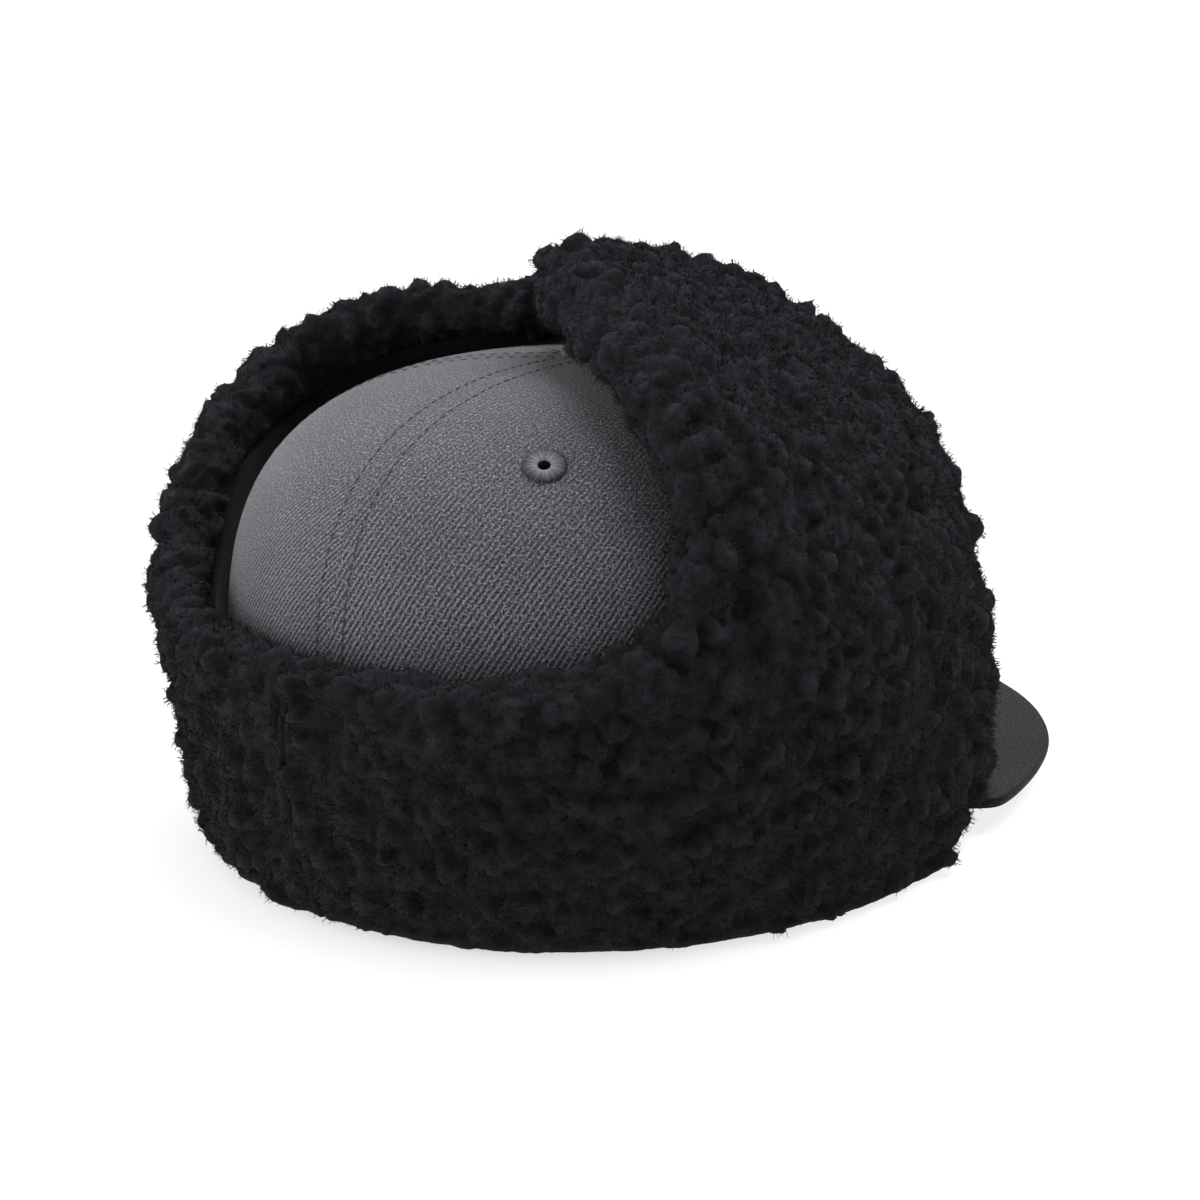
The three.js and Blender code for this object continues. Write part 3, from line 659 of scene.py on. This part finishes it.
# The creases of the folded flaps, each as points (x, y, z) in mm along its length.
CREASES = [
    [(-78.4, 68.8, 100.6), (-82.1, 66.3, 102.7), (-83.7, 57.1, 107.0)],
    [
        (-82.1, 66.3, 102.7), (-83.4, 62.2, 101.7), (-87.5, 59.9, 93.7), (-88.3, 62.5, 84.7),
        (-91.7, 61.6, 73.7),
    ],
    [(-96.6, 13.1, 96.6), (-95.1, -9.4, 95.4), (-92.0, -32.0, 96.0)],
]
CREASE_DEPTH = 2.6 * MM
CREASE_WIDTH = 3.4 * MM
# Where the pile stands fuller or flatter than its solid: (middle in mm), radius in mm, extra height in mm.
FULLER = [
    ((85, 50, 95), 50, 2.4), ((88, 62, 25), 45, -3.2), ((-93, -25, 28), 26, 4.5), ((-86, -40, 88), 34, 2.2),
    ((-68, -10, 130), 34, -2.4),
]

# Acrylic pile: black with a faint blue and a matt sheen, with random mottling. Painted shade darkens it in the
# clumps' valleys, the creases and at the fibres' roots, leaving the clumps' tops paler;
# painted light from above makes it paler higher up. The fibre noise is coarser than real fibres, which are
# finer than a pixel.
fleece, tree, shader = new_material("curly_acrylic_pile")
spot = add(tree, "ShaderNodeTexCoord").outputs["Object"]
pile_shade = add(tree, "ShaderNodeAttribute", attribute_name="pile_shade").outputs["Fac"]
patch = add(
    tree, "ShaderNodeTexNoise", {"Vector": spot, "Scale": MOTTLE_FINENESS, "Detail": 5.0, "Roughness": 0.65},
).outputs["Fac"]
fibre = add(
    tree, "ShaderNodeTexNoise",
    {"Vector": spot, "Scale": CRIMP_FINENESS, "Detail": 5.0, "Roughness": 0.75, "Distortion": 1.6},
).outputs["Fac"]
fibre = add(tree, "ShaderNodeMapRange", {"Value": fibre, 1: 0.3, 2: 0.7}).outputs[0]
patch = add(tree, "ShaderNodeMapRange", {"Value": patch, 1: 0.32, 2: 0.68}).outputs[0]
depth = add(tree, "ShaderNodeMath", {0: patch, 1: 0.5, 2: pile_shade}, operation="MULTIPLY_ADD").outputs[0]
depth = add(tree, "ShaderNodeMath", {0: fibre, 1: 0.5, 2: depth}, operation="MULTIPLY_ADD").outputs[0]
depth = add(tree, "ShaderNodeMath", {0: depth, 1: 0.55}, operation="MULTIPLY").outputs[0]
fleece_colour = add(tree, "ShaderNodeValToRGB", {"Fac": depth})
set_ramp(fleece_colour, [(0.15, "#08080a"), (0.45, "#131316"), (0.7, "#222227"), (1.0, "#44444c")])
height = add(tree, "ShaderNodeSeparateXYZ", {0: spot}).outputs["Z"]
# Painted light: the colour is scaled paler higher up, as if lit from above, and darker low down.
painted_top_light = add(
    tree, "ShaderNodeMapRange", {"Value": height, 1: 30 * MM, 2: 150 * MM, 3: 0.72, 4: 1.6},
).outputs[0]
top_lit_colour = add(
    tree, "ShaderNodeVectorMath", {0: fleece_colour.outputs[0], "Scale": painted_top_light},
    operation="SCALE",
).outputs[0]
tree.links.new(top_lit_colour, shader.inputs["Base Color"])
shader.inputs["Roughness"].default_value = 1.0
shader.inputs["Specular IOR Level"].default_value = 0.1
shader.inputs["Sheen Weight"].default_value = 0.35
shader.inputs["Sheen Roughness"].default_value = 0.5
shader.inputs["Sheen Tint"].default_value = linear("#6c6c74")
bump = add(tree, "ShaderNodeBump", {"Strength": 1.0, "Distance": 0.7 * MM, "Height": fibre})
tree.links.new(bump.outputs[0], shader.inputs["Normal"])


def fibre_of(name, length, width, bend, material):
    """A three-sided tapering fibre standing on its root and bent over, with its shade value rising from root to
    point, so that the root is painted darker as shade deep in the pile.
    """
    bm = bmesh.new()
    tip_layer = bm.verts.layers.float.new("pile_shade")
    root = bmesh.ops.create_circle(bm, cap_ends=True, segments=3, radius=width / 2)["verts"]
    made = bmesh.ops.extrude_edge_only(bm, edges=edges_at(root))["geom"]
    knee = [g for g in made if isinstance(g, bmesh.types.BMVert)]
    bmesh.ops.translate(bm, vec=(0, 0, length * 0.5), verts=knee)
    edges = [g for g in made if isinstance(g, bmesh.types.BMEdge)]
    made = bmesh.ops.extrude_edge_only(bm, edges=edges)["geom"]
    point = [g for g in made if isinstance(g, bmesh.types.BMVert)]
    reach = Vector((math.sin(bend), 0, math.cos(bend))) * length * 0.55
    bmesh.ops.translate(bm, vec=reach, verts=point)
    bmesh.ops.pointmerge(bm, verts=point, merge_co=Vector((reach.x, 0, length * 0.5 + reach.z)))
    for vert in bm.verts:
        # Painted shade: the value is lowest at the root, deep in the pile.
        vert[tip_layer] = 0.35 + 0.5 * min(vert.co.z / length, 1)
    bmesh.ops.triangulate(bm, faces=bm.faces)
    bmesh.ops.recalc_face_normals(bm, faces=bm.faces)
    return placed(bm, name, material)


def grow(body, fibre, name, seed):
    """Sets fibres all over a fleece body where its 'pile' attribute lets them grow, as one joined mesh."""
    tree = bpy.data.node_groups.new(name, "GeometryNodeTree")
    tree.interface.new_socket(name="Geometry", in_out="INPUT", socket_type="NodeSocketGeometry")
    tree.interface.new_socket(name="Geometry", in_out="OUTPUT", socket_type="NodeSocketGeometry")
    source = add(tree, "NodeGroupInput").outputs[0]
    pile = add(tree, "GeometryNodeInputNamedAttribute", {"Name": "pile"}, data_type="FLOAT").outputs[0]
    thick = add(tree, "ShaderNodeMath", {0: pile, 1: FIBRE_DENSITY}, operation="MULTIPLY").outputs[0]
    roots = add(tree, "GeometryNodeDistributePointsOnFaces", {"Mesh": source, "Density": thick, "Seed": seed})
    spot = add(tree, "GeometryNodeInputPosition").outputs[0]
    lean = add(
        tree, "ShaderNodeTexNoise", {"Vector": spot, "Scale": LEAN_FINENESS, "Detail": 2.0},
    ).outputs["Color"]
    lean = add(tree, "ShaderNodeVectorMath", {0: lean, 1: (0.5, 0.5, 0.5)}, operation="SUBTRACT").outputs[0]
    lean = add(tree, "ShaderNodeVectorMath", {0: lean, "Scale": FIBRE_SWIRL}, operation="SCALE").outputs[0]
    stray = add(
        tree, "FunctionNodeRandomValue", {0: (-0.6, -0.6, -0.6), 1: (0.6, 0.6, 0.6), "Seed": seed + 1},
        data_type="FLOAT_VECTOR",
    ).outputs[0]
    lean = add(tree, "ShaderNodeVectorMath", {0: lean, 1: stray}, operation="ADD").outputs[0]
    upright = add(
        tree, "ShaderNodeVectorMath", {0: roots.outputs["Normal"], "Scale": 0.6},
        operation="SCALE",
    ).outputs[0]
    lean = add(tree, "ShaderNodeVectorMath", {0: lean, 1: upright}, operation="ADD").outputs[0]
    stance = add(tree, "FunctionNodeAlignRotationToVector", {"Vector": lean}, axis="Z").outputs[0]
    spin = add(
        tree, "FunctionNodeRandomValue", {0: (0, 0, 0), 1: (0, 0, 2 * math.pi), "Seed": seed + 2},
        data_type="FLOAT_VECTOR",
    ).outputs[0]
    stance = add(tree, "FunctionNodeRotateRotation", {0: stance, 1: spin}, rotation_space="LOCAL").outputs[0]
    growth = add(
        tree, "FunctionNodeRandomValue", {2: FIBRE_SIZES[0], 3: FIBRE_SIZES[1], "Seed": seed + 3},
        data_type="FLOAT",
    ).outputs[1]
    growth = add(tree, "ShaderNodeMath", {0: growth, 1: pile}, operation="MULTIPLY").outputs[0]
    one = add(tree, "GeometryNodeObjectInfo", {"Object": fibre}).outputs["Geometry"]
    grown = add(
        tree, "GeometryNodeInstanceOnPoints",
        {"Points": roots.outputs["Points"], "Instance": one, "Rotation": stance, "Scale": growth},
    )
    joined = add(tree, "GeometryNodeRealizeInstances", {"Geometry": grown.outputs[0]})
    add(tree, "NodeGroupOutput", {"Geometry": joined.outputs[0]})
    pile_piece = bpy.data.objects.new(name, body.data.copy())
    bpy.context.scene.collection.objects.link(pile_piece)
    pile_piece.modifiers.new("fibres", "NODES").node_group = tree
    applied(pile_piece)
    places = np.empty(len(pile_piece.data.vertices) * 3)
    pile_piece.data.vertices.foreach_get("co", places)
    places[2::3] = np.maximum(places[2::3], 0.2 * MM)
    pile_piece.data.vertices.foreach_set("co", places)
    pile_piece.data.materials.clear()
    pile_piece.data.materials.append(fibre.data.materials[0])
    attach(pile_piece, "root")


def fuller_rise(spot):
    """How much further the pile stands out at a spot than its CAD solid."""
    rise = 0.5 * MM * ramp_up(spot.z, 20 * MM, 30 * MM)
    for middle, radius, extra in FULLER:
        rise += extra * MM * math.exp(-((spot / MM - Vector(middle)).length / radius) ** 2)
    return rise


def off_back_seam(spot, distance):
    """Whether a spot is further than a distance from the seam that joins the two fleece pieces."""
    return abs(spot.x) > distance or spot.y < BACK_SEAM_BACK or spot.z > BACK_SEAM_TOP


def crease_pull(spot):
    """How deep the sewn seam and the creases pull the pile in at a spot, 0 away from them."""
    pull = 0
    if spot.y > BACK_SEAM_BACK and spot.z < 66 * MM:
        pull = BACK_SEAM_DEPTH * math.exp(-((spot.x / BACK_SEAM_WIDTH) ** 2))
    for crease in CREASES:
        for start, end in zip(crease, crease[1:]):
            start, end = Vector(start) * MM, Vector(end) * MM
            along = (spot - start).dot(end - start) / (end - start).length_squared
            off = (spot - start.lerp(end, min(max(along, 0), 1))).length
            if off < 4 * CREASE_WIDTH:
                pull = max(pull, CREASE_DEPTH * math.exp(-((off / CREASE_WIDTH) ** 2)))
    return pull


noise.seed_set(NOISE_SEED)
fine_fibre = fibre_of("fine_fibre", FIBRE_LENGTH, FIBRE_WIDTH, math.radians(80), fleece)
for seed, side in enumerate(("right", "left")):
    bm = bmesh.new()
    bm.from_mesh(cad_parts["flap_fleece_" + side].data)
    bmesh.ops.remove_doubles(bm, verts=bm.verts, dist=WELD_DISTANCE)
    body = finished(bm, "fleece_body_" + side, fleece)
    remesh = body.modifiers.new("even", "REMESH")
    remesh.mode = "VOXEL"
    remesh.voxel_size = VOXEL
    applied(body)
    neighbours = near(["flap_facing_" + side, "peak", *PANELS])
    partner = near(["flap_fleece_" + ("left" if side == "right" else "right")])
    bm = bmesh.new()
    bm.from_mesh(body.data)
    even = [vert for vert in bm.verts if off_back_seam(vert.co, 3 * MM)]
    for _ in range(4):
        bmesh.ops.smooth_vert(bm, verts=even, factor=0.5, use_axis_x=True, use_axis_y=True, use_axis_z=True)
    bm.normal_update()
    pile = bm.verts.layers.float.new("pile")
    pile_shade = bm.verts.layers.float.new("pile_shade")
    moves = []
    for vert in bm.verts:
        room = neighbours.find_nearest(vert.co)[3]
        apart = partner.find_nearest(vert.co)[3]
        free = ramp_up(room, PILE_ROOM, PILE_ROOM_OVER) * ramp_up(vert.co.z, PILE_FLOOR, PILE_FLOOR_OVER)
        hair = free * ramp_up(apart, 0, 0.5 * MM)
        if vert.co.y < BACK_SEAM_BACK or vert.co.z > BACK_SEAM_TOP or abs(vert.normal.x) > 0.6:
            free *= min(max(apart / (1.2 * MM) - 0.1, 0), 1)
        bent = vert.co + 1.5 * MM * noise.noise_vector(vert.co / (4 * MM))
        far, cells = noise.voronoi(bent / CLUMP)
        clump = 1 - min(far[0] * 1.25, 1) ** 2
        tall = 0.6 + 1.3 * noise.cell(cells[0] * 7.3 + Vector((5.1, 3.7, 9.2)))
        bent = vert.co + 0.7 * MM * noise.noise_vector(vert.co / (1.6 * MM))
        tuft = 1 - min(noise.voronoi(bent / TUFT)[0][0] * 1.25, 1) ** 2
        swell = noise.noise(vert.co / (14 * MM))
        pull = crease_pull(vert.co)
        vert[pile] = hair
        # Painted shade: the value is lower in the clumps' valleys, the creases and the back seam, and higher on
        # the clumps' tops.
        vert[pile_shade] = 0.1 + 0.38 * clump + 0.22 * tuft - 0.3 * pull / CREASE_DEPTH
        rise = CLUMP_RISE * (clump * tall - 0.9) + TUFT_RISE * (tuft - 0.7) + 0.7 * MM * swell
        rise = rise - pull + fuller_rise(vert.co)
        moves.append(vert.normal * free * rise)
    for vert, move in zip(bm.verts, moves):
        vert.co += move
        vert.co.z = max(vert.co.z, 0)
        if not off_back_seam(vert.co, 0.9 * MM):
            vert.co.x = 0
    bm.to_mesh(body.data)
    bm.free()
    body.data.shade_smooth()
    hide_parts("flap_fleece_" + side)
    for layer in FIBRE_LAYERS:
        grow(body, fine_fibre, f"fleece_fibres_{side}_{layer}", 100 * seed + 10 * layer)
bpy.data.objects.remove(fine_fibre)


# Floor: a plain pale studio table of opal acrylic that glows a little as if lit from below, with the glow faded
# out under and round the cap as a painted shadow.
# It isn't part of the cap, which only stands on it.
FLOOR_SIZE = 6.0
PAINTED_SHADOW_HALF_WIDTH = 0.1
PAINTED_SHADOW_HALF_LENGTH = 0.11

# Opal acrylic: matt and white, its glow fading out under and round the cap, a painted shadow at the cap's foot,
# so that nothing shines up inside it.
acrylic, tree, shader = new_material("lit_opal_acrylic")
shader.inputs["Base Color"].default_value = linear("#8c8c8c")
shader.inputs["Roughness"].default_value = 0.9
shader.inputs["Emission Color"].default_value = linear("#ffffff")
spot = add(tree, "ShaderNodeTexCoord").outputs["Object"]
spot = add(
    tree, "ShaderNodeVectorMath", {0: spot, 1: (1 / PAINTED_SHADOW_HALF_WIDTH, 1 / PAINTED_SHADOW_HALF_LENGTH, 0)},
    operation="MULTIPLY",
).outputs[0]
out = add(tree, "ShaderNodeVectorMath", {0: spot}, operation="LENGTH").outputs["Value"]
# Painted shadow: the glow is taken away under the cap and fades back in beyond its edge.
glow_with_painted_shadow = add(
    tree, "ShaderNodeMapRange", {"Value": out, 1: 0.7, 2: 1.05, 3: 0.0, 4: 0.82},
    interpolation_type="SMOOTHSTEP",
).outputs[0]
tree.links.new(glow_with_painted_shadow, shader.inputs["Emission Strength"])
bm = bmesh.new()
bmesh.ops.create_grid(bm, x_segments=1, y_segments=1, size=FLOOR_SIZE)
floor = placed(bm, "studio_floor", acrylic)


# Studio light: a broad soft light overhead and a weaker one from the camera's left, in a room that is white
# low down and dimmer overhead, so that the floor burns out to white round a soft shadow.
for name, energy, spread, direction in (
    ("overhead_light", 4.2, 50, (-0.1, -0.3, 0.95)),
    ("side_light", 2.8, 55, (0.75, 0.6, 0.16)),
):
    light = bpy.data.lights.new(name, "SUN")
    light.energy = energy
    light.angle = math.radians(spread)
    lamp = bpy.data.objects.new(name, light)
    lamp.rotation_euler = Vector(direction).to_track_quat("Z", "Y").to_euler()
    bpy.context.scene.collection.objects.link(lamp)
room = bpy.data.worlds.new("white_room")
bpy.context.scene.world = room
room.use_nodes = True
tree = room.node_tree
up = add(
    tree, "ShaderNodeSeparateXYZ", {0: add(tree, "ShaderNodeTexCoord").outputs["Generated"]},
).outputs["Z"]
dim = add(
    tree, "ShaderNodeMapRange", {"Value": up, 1: 0.1, 2: 0.25, 3: 1.1, 4: 0.28},
    interpolation_type="SMOOTHSTEP",
).outputs[0]
tree.links.new(dim, tree.nodes["Background"].inputs["Strength"])
tree.nodes["Background"].inputs["Color"].default_value = (1, 1, 1, 1)
bpy.context.scene.view_settings.view_transform = "Standard"


# Camera: behind the cap, to the wearer's right and a little above, as in the photo.
# Its place and lens were fitted to the crown's seams and edge, and its shift keeps the photo's framing.
AZIMUTH = math.radians(216.5)
ELEVATION = math.radians(14.8)
DISTANCE = 0.515
TARGET = Vector((0, 0.0062, 0.0618))
PHOTO_WIDTH = 1200
away = Vector((
    math.sin(AZIMUTH) * math.cos(ELEVATION), -math.cos(AZIMUTH) * math.cos(ELEVATION), math.sin(ELEVATION),
))
lens = bpy.data.cameras.new("camera")
lens.lens = 57
lens.sensor_width = 36
lens.shift_x = 26 / PHOTO_WIDTH
lens.shift_y = -13 / PHOTO_WIDTH
camera = bpy.data.objects.new("camera", lens)
camera.location = TARGET + away * DISTANCE
camera.rotation_euler = (-away).to_track_quat("-Z", "Y").to_euler()
bpy.context.scene.collection.objects.link(camera)
bpy.context.scene.camera = camera
